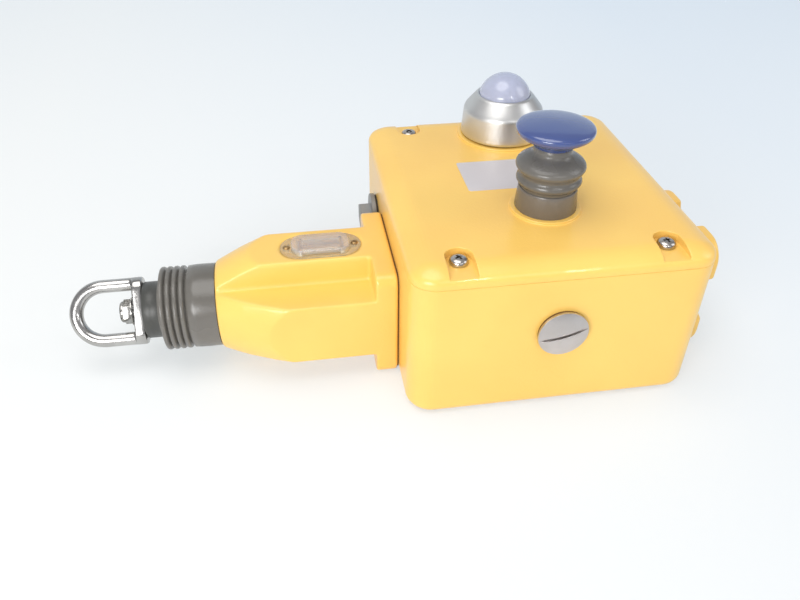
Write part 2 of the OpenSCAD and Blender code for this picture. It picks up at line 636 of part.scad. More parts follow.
// ---- reset knob ----
module reset_bush() color([0.38, 0.38, 0.36]) {
  at_reset() difference() {
    union() {
      translate([0, 0, reset_z]) cylinder(h = 8, r1 = 13.5, r2 = 12.7);
      translate([0, 0, split_z - 8]) cylinder(h = 20, r = 9.8);
      translate([0, 0, reset_z + 7]) cylinder(h = 3, r = 11);
    }
    translate([0, 0, split_z - 9]) cylinder(h = 40, r = stem_r + run);
    translate([0, 0, reset_z + 4]) cylinder(h = 10, r = 6.4);
  }
}
module reset_nut() color([0.3, 0.3, 0.3]) {
  at_reset() translate([0, 0, body_h - wall - 5]) difference() {
    cylinder(h = 5, r = 14, $fn = 6);
    translate([0, 0, -1]) cylinder(h = 7, r = 9.85);
  }
}
module reset_boot() color([0.36, 0.36, 0.34]) {
  b = reset_z + 8;
  at_reset() rotate_extrude($fn = 72) polygon([[11.1, b], [12.4, b], [12.5, b + 1.6], [13.4, b + 3],
    [14.6, b + 4.4], [14.7, b + 5.6], [13.4, b + 6.8], [13.2, b + 7.4], [13.6, b + 8.4], [14.8, b + 10], [14.8, b + 12],
    [13.6, b + 13.8], [11.5, b + 15.8], [8.3, b + 17.4], [7.9, b + 18.6], [7.9, b + 20.4], [6.3, b + 20.4],
    [6.3, b + 17.2], [8.4, b + 15.8], [12.4, b + 12.6], [13.2, b + 11.6], [13.2, b + 10.4], [11.9, b + 8.4],
    [11.6, b + 7.4], [11.8, b + 6.6], [13.1, b + 5.4], [13.1, b + 4.6], [12, b + 3.4], [11.1, b + 2.2]]);
}
module reset_cap() color([0.16, 0.25, 0.62]) {
  c = reset_z + 28.5;
  at_reset() difference() {
    union() {
      rotate_extrude($fn = 96) polygon([[0, c], [8.6, c], [9.2, c + 1.6], [12, c + 3.4], [15.2, c + 5.2],
        [16.1, c + 6.4], [16.3, c + 7.4], [16, c + 8.4], [14.8, c + 9.3], [12, c + 10], [7, c + 10.6],
        [3, c + 10.9], [0, c + 11]]);
    }
    translate([0, 0, c - 1]) cylinder(h = 7, r = stem_r + 0.02);
  }
}
module reset_stem() color([0.7, 0.7, 0.72]) {
  tip = pivot_z + 2 + gap;
  at_reset() union() {
    translate([0, 0, tip + 8]) cylinder(h = reset_z + 28.5 + 6 - tip - 8, r = stem_r);
    translate([0, 0, tip + 2]) cylinder(h = 7, r = 2);
    translate([0, 0, tip + 2]) sphere(r = 2);
  }
}
module reset_spring() color([0.5, 0.5, 0.52]) {
  at_reset() translate([0, 0, reset_z + 4]) coil(5.4, 0.5, 7, 24.4, 14, 5);
}

// ---- mechanism inside the box ----
module mechanism_plate() color([0.7, 0.72, 0.74]) {
  top = plate_z + plate_t;
  difference() {
    union() {
      translate([0, 0, plate_z]) linear_extrude(plate_t)
        polygon([[-52, -40], [52, -40], [52, 26], [14, 26], [14, 52], [-52, 52]]);
      // cheeks that carry the latch pin
      for (y = [-38, 1]) translate([pivot_x - 6, y, top - 1]) cube([12, 2.5, pivot_z + 5 - top]);
      // rails under the cam block
      for (y = [rope_y - 11, rope_y + 7]) translate([cam_x0 - pull - 1, y, top - 1])
        cube([cam_x1 - cam_x0 + pull + 1, 4, rope_z - 11 - gap - top + 1]);
    }
    translate([pivot_x, -50, pivot_z]) rotate([-90, 0, 0]) cylinder(h = 80, r = pin_r + 0.02);
    for (p = plate_feet) translate([p[0], p[1], plate_z - 1]) cylinder(h = plate_t + 2, r = 2.2);
  }
}
module plate_screws() color([0.72, 0.72, 0.7]) {
  for (p = plate_feet) translate([p[0], p[1], plate_z + plate_t]) pan_screw(2, 3.8, 2.6, 6);
}
module cam_block() color([0.9, 0.9, 0.86]) {
  y0 = rope_y - 11;
  y1 = rope_y + 13;
  rise = 17 * cam_slope;
  difference() {
    translate([0, 0, rope_z - 11]) linear_extrude(22) polygon([[cam_x0, y0], [cam_x1, y0], [cam_x1, y1],
      [plunger_bx + 14, y1], [plunger_bx - 3, y1 + rise], [plunger_ax + 14, y1 + rise],
      [plunger_ax - 3, y1], [cam_x0, y1]]);
    rod(cam_x0 - 1, cam_x1 + 1, shaft_r + 0.02);
    translate([cam_x0 - 1, y0 - 1, rope_z + 6]) cube([8, 8, 8]);
    translate([cam_x1 - 7, y0 - 1, rope_z + 6]) cube([8, 8, 8]);
  }
}
module latch_ring() color([0.6, 0.6, 0.62]) {
  difference() {
    rod(ring_x0, ring_x1, ring_r);
    rod(ring_x0 - 1, ring_x1 + 1, tail_r + 0.02);
    ring(ring_x0 + 16, ring_x0 + 20.5, ring_r + 2, ring_r - 3);
  }
}
module latch_lever() color([0.64, 0.66, 0.68]) {
  ends = [rope_y - 1.5, rope_y + 1.5];
  difference() {
    union() {
      translate([pivot_x, reset_y - 6.5, pivot_z]) rotate([-90, 0, 0]) cylinder(h = 12, r = 4.5);
      translate([pivot_x, ends[0] - 2, pivot_z]) rotate([-90, 0, 0]) cylinder(h = 9, r = 4.5);
      translate([pivot_x, reset_y - 6.5, pivot_z]) rotate([-90, 0, 0])
        cylinder(h = ends[0] - reset_y + 9, r = 3.4);
      translate([reset_x - 5, reset_y - 3, pivot_z - 2]) cube([pivot_x - reset_x + 5, 6, 4]);
      translate([pivot_x, ends[0], 0]) rotate([90, 0, 0]) translate([0, 0, -3]) linear_extrude(3)
        polygon([[0, pivot_z - 3], [8, pivot_z - 3], [8.4, rope_z + ring_r + 0.6], [12, rope_z + ring_r + 0.6],
          [12.5, pivot_z + 1], [10, pivot_z + 3.5], [0, pivot_z + 4]]);
    }
    translate([pivot_x, -50, pivot_z]) rotate([-90, 0, 0]) cylinder(h = 80, r = pin_r + run);
  }
}
module latch_pin() color([0.75, 0.75, 0.77]) {
  translate([pivot_x, -38.6, pivot_z]) rotate([-90, 0, 0]) union() {
    cylinder(h = 42.8, r = pin_r);
    translate([0, 0, -1.2]) cylinder(h = 1.6, r = 4);
  }
}
module latch_spring() color([0.5, 0.5, 0.52]) {
  y0 = reset_y + 6;
  translate([pivot_x, y0, pivot_z]) rotate([-90, 0, 0]) coil(4.6, 0.5, 4, rope_y - 4 - y0, 14, 5);
}
module contact_blocks() color([0.18, 0.2, 0.22]) {
  for (x = [plunger_ax, plunger_bx]) difference() {
    translate([x - 9, contact_y, plate_z + plate_t]) cube([18, 34, 30]);
    translate([x, contact_y - 1, rope_z]) rotate([-90, 0, 0]) cylinder(h = 16, r = 3 + run);
    for (i = [-1, 1]) translate([x + i * 4.5 - 3.2, contact_y + 24, plate_z + plate_t + 22]) cube([6.4, 11, 9]);
    for (i = [-1, 1]) translate([x + i * 4.5, contact_y + 29, plate_z + plate_t + 12]) cylinder(h = 12, r = 1.5 + fit);
  }
}
module plunger(x, out) {
  y = rope_y + 13 + out;
  roll_y = y + roller_r / cos(atan(cam_slope)) + 0.35;
  union() {
    translate([x, roll_y, rope_z - 3]) cylinder(h = 6, r = roller_r);
    translate([x, roll_y, rope_z]) rotate([-90, 0, 0]) cylinder(h = contact_y + 10 - roll_y, r = 2.4);
    translate([x, contact_y - 4 + out, rope_z]) rotate([-90, 0, 0]) cylinder(h = 14, r = 3);
  }
}
module plunger_a() color([0.85, 0.2, 0.16]) plunger(plunger_ax, 3 * cam_slope);
module plunger_b() color([0.2, 0.6, 0.3]) plunger(plunger_bx, 14 * cam_slope);
module terminal_screws() color([0.75, 0.7, 0.5]) {
  for (x = [plunger_ax, plunger_bx], i = [-1, 1])
    translate([x + i * 4.5, contact_y + 29, plate_z + plate_t + 22]) pan_screw(1.5, 2.8, 2, 8);
}
module earth_screw() color([0.75, 0.7, 0.5]) {
  translate([earth_at[0], earth_at[1], wall + 5]) pan_screw(2, 4, 2.8, 6);
}

base_housing();
cover();
cover_gasket();
cover_screws();
label();
head_housing();
head_gasket();
head_screws();
window_lens();
window_screws();
indicator_sleeve();
rope_shaft();
front_bush();
rear_bush();
main_spring();
spring_collar();
rope_boot();
rope_bow();
bow_washer();
bow_nut();
front_plug();
front_plug_seal();
side_plug();
side_plug_seal();
end_cap();
end_cap_gasket();
end_cap_screws();
end_bush();
beacon_body();
beacon_bezel();
beacon_dome();
beacon_lamp();
beacon_seal();
beacon_nut();
reset_cap();
reset_stem();
reset_boot();
reset_bush();
reset_nut();
reset_spring();
mechanism_plate();
plate_screws();
cam_block();
latch_ring();
latch_lever();
latch_pin();
latch_spring();
contact_blocks();
plunger_a();
plunger_b();
terminal_screws();
earth_screw();
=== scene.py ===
"""Rope pull safety switch: the finish of every piece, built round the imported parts."""

import math

import bmesh
import bpy
from mathutils import Matrix, Vector


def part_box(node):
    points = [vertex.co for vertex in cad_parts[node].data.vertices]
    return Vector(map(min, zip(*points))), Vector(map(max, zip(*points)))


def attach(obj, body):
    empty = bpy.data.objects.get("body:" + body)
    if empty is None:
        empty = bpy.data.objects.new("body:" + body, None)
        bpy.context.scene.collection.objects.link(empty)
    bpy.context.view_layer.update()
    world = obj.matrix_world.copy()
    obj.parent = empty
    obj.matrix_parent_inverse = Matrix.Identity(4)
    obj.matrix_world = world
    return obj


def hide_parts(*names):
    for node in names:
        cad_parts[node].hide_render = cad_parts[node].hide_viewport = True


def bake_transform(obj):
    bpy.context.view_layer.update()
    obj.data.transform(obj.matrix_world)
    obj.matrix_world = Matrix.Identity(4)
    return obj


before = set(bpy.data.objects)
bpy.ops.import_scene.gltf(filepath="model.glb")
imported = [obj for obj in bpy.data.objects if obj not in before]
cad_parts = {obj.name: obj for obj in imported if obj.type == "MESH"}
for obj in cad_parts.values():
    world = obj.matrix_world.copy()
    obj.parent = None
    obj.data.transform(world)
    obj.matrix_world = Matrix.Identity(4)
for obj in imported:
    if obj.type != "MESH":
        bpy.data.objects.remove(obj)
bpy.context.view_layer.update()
mm = 0.001

# ---------------------------------------------------------------- studio
# A white sheet sweeps up behind the switch, and the camera looks down from a
# little left of the front. A large lamp hangs above, one stands near at the
# left, two tiny ones glint on the dome and the knob, and a weak one fills in.

scene = bpy.context.scene
scene.view_settings.view_transform = "Standard"

CAMERA_AT = Vector((-0.10708, -0.29825, 0.23926))
CAMERA_AZIMUTH = math.radians(-9.4024)
CAMERA_ELEVATION = math.radians(37.2375)
CAMERA_ROLL = math.radians(0.5802)
SENSOR_WIDTH = 36.0
FOCAL_LENGTH = 33.452325
camera = bpy.data.objects.new("camera", bpy.data.cameras.new("camera"))
camera.data.sensor_width = SENSOR_WIDTH
camera.data.lens = FOCAL_LENGTH
camera.data.clip_start = 0.01
scene.collection.objects.link(camera)
back = Vector(
    (
        math.sin(CAMERA_AZIMUTH) * math.cos(CAMERA_ELEVATION),
        -math.cos(CAMERA_AZIMUTH) * math.cos(CAMERA_ELEVATION),
        math.sin(CAMERA_ELEVATION),
    )
)
right = Vector((0, 0, 1)).cross(back).normalized()
up = back.cross(right)
side = right * math.cos(CAMERA_ROLL) + up * math.sin(CAMERA_ROLL)
top = up * math.cos(CAMERA_ROLL) - right * math.sin(CAMERA_ROLL)
camera.matrix_world = Matrix(
    (
        (side.x, top.x, back.x, CAMERA_AT.x),
        (side.y, top.y, back.y, CAMERA_AT.y),
        (side.z, top.z, back.z, CAMERA_AT.z),
        (0, 0, 0, 1),
    )
)
scene.camera = camera


def soft_lamp(name, place, aim, size, watts, tint=(1.0, 1.0, 1.0)):
    """An oval area lamp at one point that shines towards another."""
    lamp = bpy.data.lights.new(name, "AREA")
    lamp.shape = "ELLIPSE"
    lamp.size, lamp.size_y = size
    lamp.energy = watts
    lamp.color = tint
    holder = bpy.data.objects.new(name, lamp)
    holder.location = place
    holder.rotation_euler = (Vector(aim) - Vector(place)).to_track_quat("-Z", "Y").to_euler()
    scene.collection.objects.link(holder)


soft_lamp("overhead", (-0.25, -0.1, 1.1), (0, 0, 0), size=(0.9, 0.9), watts=6.0, tint=(1.0, 0.99, 0.97))
soft_lamp("front_left", (-0.45, -0.6, 0.30), (-0.03, 0, 0.03), size=(0.42, 0.30), watts=3.05)
for name, x in (("small_left", 0.06), ("small_right", 0.17)):
    soft_lamp(name, (x, -0.40, 0.335), (0, -0.02, 0.10), size=(0.036, 0.022), watts=0.10)
soft_lamp("right_fill", (0.9, -0.2, 0.6), (0, 0, 0.04), size=(0.5, 0.7), watts=2.0, tint=(0.95, 0.97, 1.0))

world = bpy.data.worlds.new("studio")
scene.world = world
world.use_nodes = True
nodes, links = world.node_tree.nodes, world.node_tree.links
nodes.clear()
world_out = nodes.new("ShaderNodeOutputWorld")
lit = nodes.new("ShaderNodeBackground")
lit.inputs["Color"].default_value = (0.95, 0.96, 1.0, 1)
lit.inputs["Strength"].default_value = 0.40
seen = nodes.new("ShaderNodeBackground")
seen.inputs["Color"].default_value = (0.93, 0.95, 1.0, 1)
seen.inputs["Strength"].default_value = 1.0
path = nodes.new("ShaderNodeLightPath")
mix = nodes.new("ShaderNodeMixShader")
links.new(path.outputs["Is Camera Ray"], mix.inputs["Fac"])
links.new(lit.outputs[0], mix.inputs[1])
links.new(seen.outputs[0], mix.inputs[2])
links.new(mix.outputs[0], world_out.inputs["Surface"])

# The sheet's own glow: the axis it runs along, from where to where in metres,
# and its tone at either end.
SHEET_GLOW = (
    ("Y", -0.3, 0.6, (0.40, 0.40, 0.39), (0.40, 0.44, 0.48)),
    ("X", -0.3, 0.25, (0.11, 0.115, 0.10), (0.0, 0.045, 0.09)),
)
SHEET_WIDTH = 4.4
SHEET_FRONT = -1.6
SHEET_STEPS = ((2.6, 0), (0.35, 0.08), (0.25, 0.25), (0.1, 0.4), (0.02, 1.2))


def new_material(name):
    """An empty material, its nodes, its links and its shader."""
    material = bpy.data.materials.new(name)
    material.use_nodes = True
    tree = material.node_tree
    return material, tree.nodes, tree.links, tree.nodes["Principled BSDF"]


def sheet_material():
    """Lights the switch as a white sheet does; where it is seen or mirrored, it is darker and glows."""
    material, nodes, links, shader = new_material("white_sheet")
    shader.inputs["Base Color"].default_value = (0.86, 0.86, 0.88, 1)
    shader.inputs["Roughness"].default_value = 0.6
    pale = nodes.new("ShaderNodeBsdfDiffuse")
    pale.inputs["Color"].default_value = (0.42, 0.42, 0.42, 1)
    glow = nodes.new("ShaderNodeEmission")
    place = nodes.new("ShaderNodeSeparateXYZ")
    links.new(nodes.new("ShaderNodeTexCoord").outputs["Object"], place.inputs[0])
    total = nodes.new("ShaderNodeMix")
    total.data_type = "RGBA"
    total.blend_type = "ADD"
    total.inputs["Factor"].default_value = 1.0
    for term, (axis, low, high, near, far) in zip("AB", SHEET_GLOW):
        spread = nodes.new("ShaderNodeMapRange")
        spread.inputs["From Min"].default_value = low
        spread.inputs["From Max"].default_value = high
        links.new(place.outputs[axis], spread.inputs["Value"])
        tint = nodes.new("ShaderNodeMix")
        tint.data_type = "RGBA"
        tint.inputs["A"].default_value = (*near, 1)
        tint.inputs["B"].default_value = (*far, 1)
        links.new(spread.outputs["Result"], tint.inputs["Factor"])
        links.new(tint.outputs["Result"], total.inputs[term])
    links.new(total.outputs["Result"], glow.inputs["Color"])
    glowing = nodes.new("ShaderNodeAddShader")
    path = nodes.new("ShaderNodeLightPath")
    either = nodes.new("ShaderNodeMath")
    either.operation = "MAXIMUM"
    mixer = nodes.new("ShaderNodeMixShader")
    links.new(path.outputs["Is Camera Ray"], either.inputs[0])
    links.new(path.outputs["Is Glossy Ray"], either.inputs[1])
    links.new(pale.outputs[0], glowing.inputs[0])
    links.new(glow.outputs[0], glowing.inputs[1])
    links.new(either.outputs[0], mixer.inputs["Fac"])
    links.new(shader.outputs[0], mixer.inputs[1])
    links.new(glowing.outputs[0], mixer.inputs[2])
    links.new(mixer.outputs[0], nodes["Material Output"].inputs["Surface"])
    return material


sweep = bmesh.new()
front_edge = [sweep.verts.new((x, SHEET_FRONT, 0)) for x in (-SHEET_WIDTH / 2, SHEET_WIDTH / 2)]
edge = sweep.edges.new(front_edge)
for step_y, step_z in SHEET_STEPS:
    out = bmesh.ops.extrude_edge_only(sweep, edges=[edge])
    moved = [v for v in out["geom"] if isinstance(v, bmesh.types.BMVert)]
    bmesh.ops.translate(sweep, verts=moved, vec=(0, step_y, step_z))
    edge = [e for e in out["geom"] if isinstance(e, bmesh.types.BMEdge)][0]
bmesh.ops.recalc_face_normals(sweep, faces=sweep.faces)
for face in sweep.faces:
    face.smooth = True
sheet_mesh = bpy.data.meshes.new("sheet")
sweep.to_mesh(sheet_mesh)
sweep.free()
sheet = bpy.data.objects.new("sheet", sheet_mesh)
scene.collection.objects.link(sheet)
sheet.data.materials.append(sheet_material())

# ---------------------------------------------------------------- box
# The box is a pressure die casting with a warm yellow powder coat. The die
# leaves its edges soft, and the coat lies with a faint orange peel.


def spread_noise(nodes, links, coords, scale, detail, low, high):
    """Noise on the coordinates given, spread so that it runs from 0 to 1."""
    noise = nodes.new("ShaderNodeTexNoise")
    noise.inputs["Detail"].default_value = detail
    links.new(coords, noise.inputs["Vector"])
    if isinstance(scale, float):
        noise.inputs["Scale"].default_value = scale
    else:
        links.new(scale, noise.inputs["Scale"])
    spread = nodes.new("ShaderNodeMapRange")
    spread.interpolation_type = "SMOOTHSTEP"
    spread.inputs["From Min"].default_value = low
    spread.inputs["From Max"].default_value = high
    links.new(noise.outputs["Fac"], spread.inputs["Value"])
    return spread.outputs["Result"]


def skin_group():
    """Slow patches of tone, fine grain, and thin rubbed marks."""
    group = bpy.data.node_groups.new("skin", "ShaderNodeTree")
    for label, value in (("Patch Scale", 18.0), ("Grain Scale", 900.0)):
        socket = group.interface.new_socket(name=label, in_out="INPUT", socket_type="NodeSocketFloat")
        socket.default_value = value
    for label in ("Patch", "Grain", "Rubbed"):
        group.interface.new_socket(name=label, in_out="OUTPUT", socket_type="NodeSocketFloat")
    nodes, links = group.nodes, group.links
    inputs = nodes.new("NodeGroupInput")
    outputs = nodes.new("NodeGroupOutput")
    coords = nodes.new("ShaderNodeTexCoord").outputs["Object"]
    patch = spread_noise(nodes, links, coords, inputs.outputs["Patch Scale"], 3, 0.35, 0.65)
    grain = spread_noise(nodes, links, coords, inputs.outputs["Grain Scale"], 2, 0.3, 0.7)
    drawn = nodes.new("ShaderNodeMapping")
    drawn.inputs["Scale"].default_value = (1.0, 9.0, 9.0)
    drawn.inputs["Rotation"].default_value = (0.3, 0.2, 0.7)
    links.new(coords, drawn.inputs["Vector"])
    rubbed = spread_noise(nodes, links, drawn.outputs["Vector"], 45.0, 4, 0.55, 0.8)
    for label, value in (("Patch", patch), ("Grain", grain), ("Rubbed", rubbed)):
        links.new(value, outputs.inputs[label])
    return group


SKIN = skin_group()
GRAIN_DEPTH = 0.5


def finish(name, low, high, rough, bump=0.02, metal=0.0, grain=900.0, patch=18.0, rubbed=0.02, **plain):
    """A material whose tone and gloss run from low to high in patches, with grain in its surface.

    Any other socket of the shader is set by its own name, such as coat_weight for Coat Weight.
    """
    material, nodes, links, shader = new_material(name)
    skin = nodes.new("ShaderNodeGroup")
    skin.node_tree = SKIN
    skin.inputs["Patch Scale"].default_value = patch
    skin.inputs["Grain Scale"].default_value = grain
    tone = nodes.new("ShaderNodeMix")
    tone.data_type = "RGBA"
    tone.inputs["A"].default_value = (*low, 1)
    tone.inputs["B"].default_value = (*high, 1)
    links.new(skin.outputs["Patch"], tone.inputs["Factor"])
    links.new(tone.outputs["Result"], shader.inputs["Base Color"])
    gloss = nodes.new("ShaderNodeMapRange")
    gloss.inputs["To Min"].default_value = rough[0]
    gloss.inputs["To Max"].default_value = rough[1]
    worn = nodes.new("ShaderNodeMath")
    worn.operation = "MULTIPLY_ADD"
    worn.inputs[1].default_value = rubbed
    links.new(skin.outputs["Patch"], gloss.inputs["Value"])
    links.new(skin.outputs["Rubbed"], worn.inputs[0])
    links.new(gloss.outputs["Result"], worn.inputs[2])
    links.new(worn.outputs["Value"], shader.inputs["Roughness"])
    relief = nodes.new("ShaderNodeBump")
    relief.inputs["Strength"].default_value = bump
    relief.inputs["Distance"].default_value = GRAIN_DEPTH * mm
    links.new(skin.outputs["Grain"], relief.inputs["Height"])
    links.new(relief.outputs["Normal"], shader.inputs["Normal"])
    shader.inputs["Metallic"].default_value = metal
    for socket, value in plain.items():
        shader.inputs[socket.replace("_", " ").title().replace("Ior", "IOR")].default_value = value
    return material


yellow_paint = finish(
    "yellow_paint", (0.935, 0.585, 0.135), (0.96, 0.625, 0.150), (0.28, 0.34),
    bump=0.06, grain=600.0, rubbed=0.0, coat_weight=0.12,
)


def shaded(made, sharp):
    """Shades a piece smooth, with a crease where faces meet at more than the sharp angle."""
    made.data.shade_smooth()
    made.data.set_sharp_from_angle(angle=math.radians(sharp))
    return made


def piece(name, shape, material, body, slot, *nodes, sharp=32):
    """Makes a bmesh a piece on a body, in place of the CAD nodes named."""
    mesh = bpy.data.meshes.new(name)
    shape.to_mesh(mesh)
    shape.free()
    made = bpy.data.objects.new(name, mesh)
    scene.collection.objects.link(made)
    mesh.materials.append(material)
    shaded(made, sharp)
    if body:
        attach(made, body)
    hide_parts(*nodes)
    return made


def merged_copy(node):
    """A CAD part's mesh with its triangles joined and its flats dissolved."""
    shape = bmesh.new()
    shape.from_mesh(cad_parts[node].data)
    bmesh.ops.remove_doubles(shape, verts=shape.verts, dist=2e-6)
    bmesh.ops.dissolve_limit(shape, angle_limit=math.radians(0.1), verts=shape.verts, edges=shape.edges)
    return shape


def broken_edges(made, width, segments=3, angle=33):
    """Rounds every edge sharper than the angle, and keeps the flats flat."""
    edges = made.modifiers.new("edges", "BEVEL")
    edges.width = width * mm
    edges.segments = segments
    edges.limit_method = "ANGLE"
    edges.angle_limit = math.radians(angle)
    edges.use_clamp_overlap = False
    edges.harden_normals = True
    return made


def settled(made):
    """Applies a piece's modifiers, so that the mesh is final."""
    bpy.context.view_layer.update()
    mesh = bpy.data.meshes.new_from_object(made.evaluated_get(bpy.context.evaluated_depsgraph_get()))
    mesh.name = made.name
    made.modifiers.clear()
    made.data = mesh
    return made


LARGE_FLAT = 2e-5


def box_shell(name, node):
    """A shell of the box with its edges broken, and its large flats shaded square to themselves."""
    made = piece(name, merged_copy(node), yellow_paint, "box", "yellow_paint", node)
    settled(broken_edges(made, 0.4))
    normals = [corner.vector.copy() for corner in made.data.corner_normals]
    for face in made.data.polygons:
        if face.area > LARGE_FLAT:
            for i in face.loop_indices:
                normals[i] = face.normal
    made.data.normals_split_custom_set(normals)


box_shell("box_casting", "base_housing")

# ---------------------------------------------------------------- mechanism
# A bent steel plate screwed to the floor of the box carries the contacts, the
# earth screw and the latch. Its screws and the plate are zinc plated.


def coat(material, *nodes):
    """Gives CAD parts that keep their own shape a finish."""
    for node in nodes:
        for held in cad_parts[node].material_slots:
            held.material = material


zinc_steel = finish(
    "zinc_steel", (0.56, 0.55, 0.52), (0.68, 0.68, 0.66), (0.24, 0.36),
    bump=0.05, metal=1.0, grain=1400.0, patch=60.0,
)
bare_steel = finish(
    "bare_steel", (0.50, 0.50, 0.50), (0.60, 0.60, 0.59), (0.20, 0.30),
    bump=0.04, metal=1.0, grain=1800.0, patch=45.0,
)
spring_steel = finish(
    "spring_steel", (0.30, 0.30, 0.31), (0.40, 0.40, 0.40), (0.28, 0.38),
    bump=0.05, metal=1.0, grain=2500.0, patch=80.0,
)
terminal_brass = finish(
    "terminal_brass", (0.72, 0.52, 0.26), (0.80, 0.62, 0.36), (0.25, 0.36),
    bump=0.05, metal=1.0, grain=1500.0, patch=60.0,
)
black_plastic = finish(
    "black_plastic", (0.016, 0.016, 0.018), (0.028, 0.028, 0.030), (0.38, 0.50), bump=0.12, grain=1300.0
)
white_plastic = finish("white_plastic", (0.72, 0.71, 0.67), (0.80, 0.79, 0.76), (0.35, 0.45), bump=0.05)
red_plastic = finish("red_plastic", (0.48, 0.03, 0.025), (0.56, 0.045, 0.035), (0.30, 0.40), bump=0.05)
green_plastic = finish("green_plastic", (0.03, 0.22, 0.08), (0.045, 0.28, 0.10), (0.30, 0.40), bump=0.05)
coat(zinc_steel, "mechanism_plate", "plate_screws")
coat(bare_steel, "latch_ring", "latch_lever", "latch_pin")
coat(spring_steel, "latch_spring")
coat(terminal_brass, "terminal_screws", "earth_screw")
coat(black_plastic, "contact_blocks")
coat(white_plastic, "cam_block")
coat(red_plastic, "plunger_a")
coat(green_plastic, "plunger_b")

# ---------------------------------------------------------------- rope line
# The pull shaft is turned steel with a threaded end for the bow, and slides in
# three bronze bushes. A strong coil spring in the head pushes its collar back.


def corners(node):
    """A CAD part's lowest and highest corners, in mm."""
    low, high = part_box(node)
    return [round(v / mm, 3) for v in low], [round(v / mm, 3) for v in high]


def middle(node):
    """The middle of a CAD part, in mm."""
    low, high = corners(node)
    return [(a + b) / 2 for a, b in zip(low, high)]


def lathe(profile, steps=96, closed=True):
    """Spins a profile of (radius, height) in mm round the Z axis."""
    shape = bmesh.new()
    points = [shape.verts.new((r * mm, 0, h * mm)) for r, h in profile]
    runs = [shape.edges.new(pair) for pair in zip(points, points[1:])]
    if closed:
        runs.append(shape.edges.new((points[-1], points[0])))
    bmesh.ops.spin(
        shape, geom=points + runs, cent=(0, 0, 0), axis=(0, 0, 1), angle=math.tau, steps=steps, use_merge=True
    )
    bmesh.ops.remove_doubles(shape, verts=shape.verts, dist=1e-6)
    bmesh.ops.recalc_face_normals(shape, faces=shape.faces)
    return shape


_, ROPE_Y, ROPE_Z = middle("rope_shaft")
along_rope = Matrix.Translation((0, ROPE_Y * mm, ROPE_Z * mm)) @ Matrix.Rotation(math.radians(90), 4, "Y")


def on_rope(shape):
    """Turns a shape from the Z axis to the rope axis, where its height is its X."""
    bmesh.ops.transform(shape, matrix=along_rope, verts=shape.verts)
    return shape


def rope_point(x):
    """The point of the rope axis at x mm, in metres."""
    return x * mm, ROPE_Y * mm, ROPE_Z * mm


def at(shape, x, y, z):
    """Moves a shape, in mm."""
    bmesh.ops.translate(shape, verts=shape.verts, vec=(x * mm, y * mm, z * mm))
    return shape


def turned(shape, verts, degrees, axis):
    """Turns some points of a shape about an axis through the origin."""
    turn = Matrix.Rotation(math.radians(degrees), 3, axis)
    bmesh.ops.rotate(shape, verts=verts, cent=(0, 0, 0), matrix=turn)


def thread(r, root, start, end, pitch):
    """Profile points of a fine thread from start to end."""
    turns = max(1, round(abs(end - start) / pitch))
    step = (end - start) / turns
    points = []
    for i in range(turns):
        points += [(root, start + i * step), (r, start + (i + 0.5) * step)]
    return points + [(root, end)]


BOW_TIP = corners("rope_bow")[0][0]
BOW_FOOT = corners("rope_bow")[1][0]
WASHER_FOOT = corners("bow_washer")[1][0]
SHAFT_TIP = -189.8
SHAFT_TAIL = corners("rope_shaft")[1][0]
shaft = lathe(
    [(0, SHAFT_TIP), (2.4, SHAFT_TIP)]
    + thread(3.0, 2.55, SHAFT_TIP + 0.3, WASHER_FOOT - 0.1, 1.0)
    + [(3.0, WASHER_FOOT), (5.0, WASHER_FOOT), (5.0, BOW_FOOT), (9.4, BOW_FOOT), (10, BOW_FOOT + 0.6)]
    + [(10, -172), (6, -172), (6, 8), (5, 8), (5, SHAFT_TAIL - 0.6), (4.4, SHAFT_TAIL), (0, SHAFT_TAIL)],
    closed=False,
)
shaft = piece("pull_shaft", on_rope(shaft), bare_steel, "rope_line", "bare_steel", "rope_shaft")
broken_edges(shaft, 0.15, 2)
bronze = finish(
    "bronze", (0.60, 0.38, 0.20), (0.70, 0.46, 0.26), (0.38, 0.50),
    bump=0.15, metal=1.0, grain=2200.0, patch=70.0,
)
coat(bronze, "front_bush", "rear_bush", "end_bush")
coat(bare_steel, "spring_collar")


def coil(radius, wire, turns, length, steps, sides):
    """A round wire spun up the Z axis, with both of its ends closed."""
    shape = bmesh.new()
    ring = bmesh.ops.create_circle(shape, cap_ends=False, segments=sides, radius=wire * mm)["verts"]
    turned(shape, ring, 90, "X")
    bmesh.ops.translate(shape, verts=ring, vec=(radius * mm, 0, wire * mm))
    total = turns * steps
    bmesh.ops.spin(
        shape, geom=shape.verts[:] + shape.edges[:], cent=(0, 0, 0), axis=(0, 0, 1),
        dvec=(0, 0, (length - 2 * wire) * mm / total), angle=math.tau * turns, steps=total,
    )
    bmesh.ops.remove_doubles(shape, verts=shape.verts, dist=1e-6)
    bmesh.ops.holes_fill(shape, edges=[e for e in shape.edges if e.is_boundary], sides=sides)
    bmesh.ops.recalc_face_normals(shape, faces=shape.faces)
    return shape


SPRING_SEAT = corners("front_bush")[1][0]
SPRING_PUSH = corners("spring_collar")[0][0]
windings = coil(radius=11, wire=1.4, turns=7, length=SPRING_PUSH - SPRING_SEAT, steps=40, sides=12)
on_rope(at(windings, 0, 0, SPRING_SEAT))
spring = piece("return_spring", windings, spring_steel, None, "spring_steel", "main_spring")
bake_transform(spring)

# ---------------------------------------------------------------- head
# The spring head is cast and coated like the box. Its plus-shaped section and
# its round nose run into each other in soft fillets, as the die leaves them.


